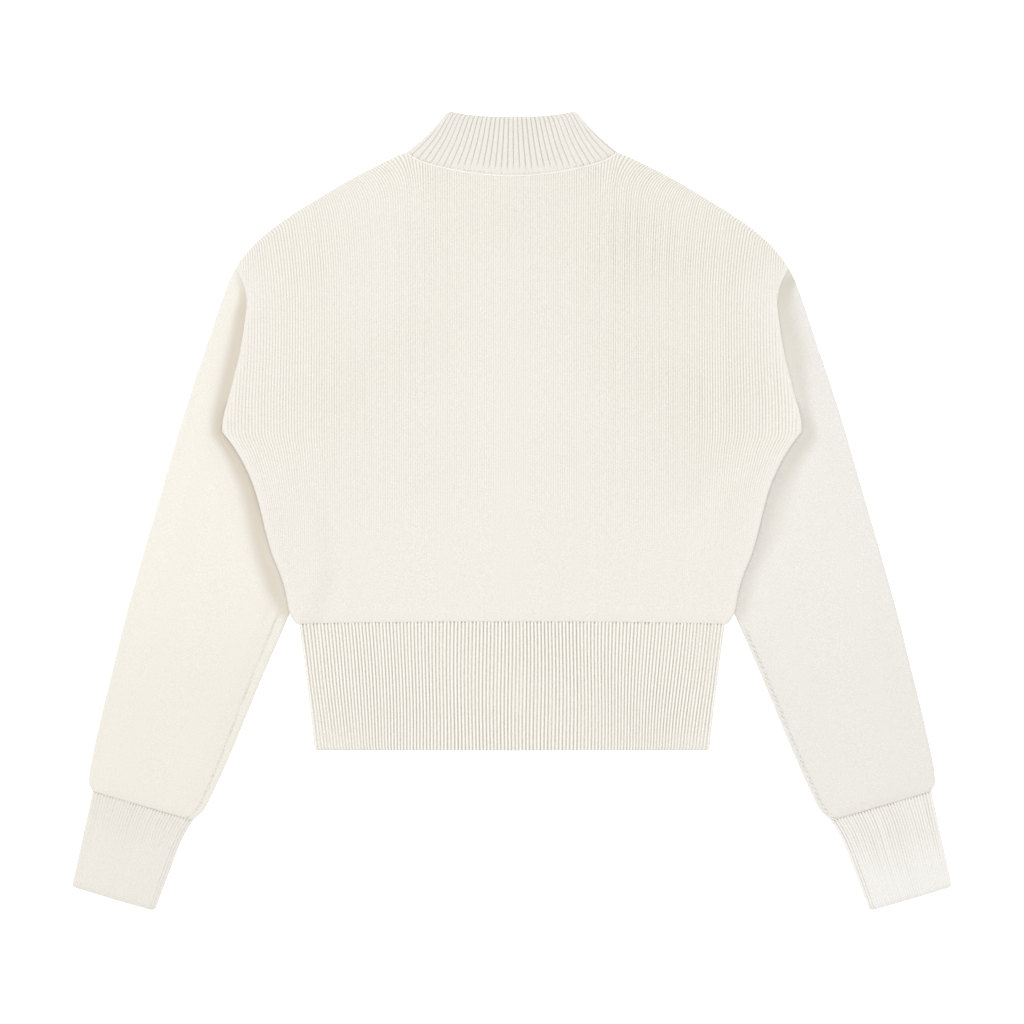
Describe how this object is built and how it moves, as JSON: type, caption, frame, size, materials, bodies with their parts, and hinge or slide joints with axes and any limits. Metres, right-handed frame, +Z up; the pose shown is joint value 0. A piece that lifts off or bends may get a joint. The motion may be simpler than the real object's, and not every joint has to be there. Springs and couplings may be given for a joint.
{
  "type": "zip-up cardigan",
  "caption": "Cropped knitted cardigan with ribbed stand collar, cuffs and wide waistband, closed front zip, laid flat on its front.",
  "frame": {"origin": "middle of the laid-out garment's width and length, on the surface that it lies on", "axes": "+X across the garment towards the wearer's right side, +Y up towards the collar, +Z up from the surface, out of the garment's back"},
  "size_m": [0.7486, 0.6796, 0.0099],
  "materials": {
    "knit": "ivory cotton knit with fine lengthwise wales, matt",
    "rib": "ivory cotton rib knit, matt",
    "zip_tape": "woven ivory tape",
    "zip_metal": "satin silver metal"
  },
  "bodies": {
    "garment": {"back_panel": "knit", "front_left": "knit", "front_right": "knit", "sleeve_left": "knit", "sleeve_right": "knit", "cuff_left": "rib", "cuff_right": "rib", "waistband": "rib", "collar": "rib", "zip_tape_left": "zip_tape", "zip_tape_right": "zip_tape", "zip_chain": "zip_metal", "zip_box": "zip_metal", "zip_stop_left": "zip_metal", "zip_stop_right": "zip_metal", "zip_slider": "zip_metal"},
    "pull_tab": {"zip_pull": "zip_metal"}
  },
  "joints": [
    {"name": "pull_tab_swing", "type": "hinge", "parent": "garment", "child": "pull_tab", "pos_m": [0, 0.2809, 0.0014], "axis": [1, 0, 0], "range_deg": [0, 150]}
  ]
}
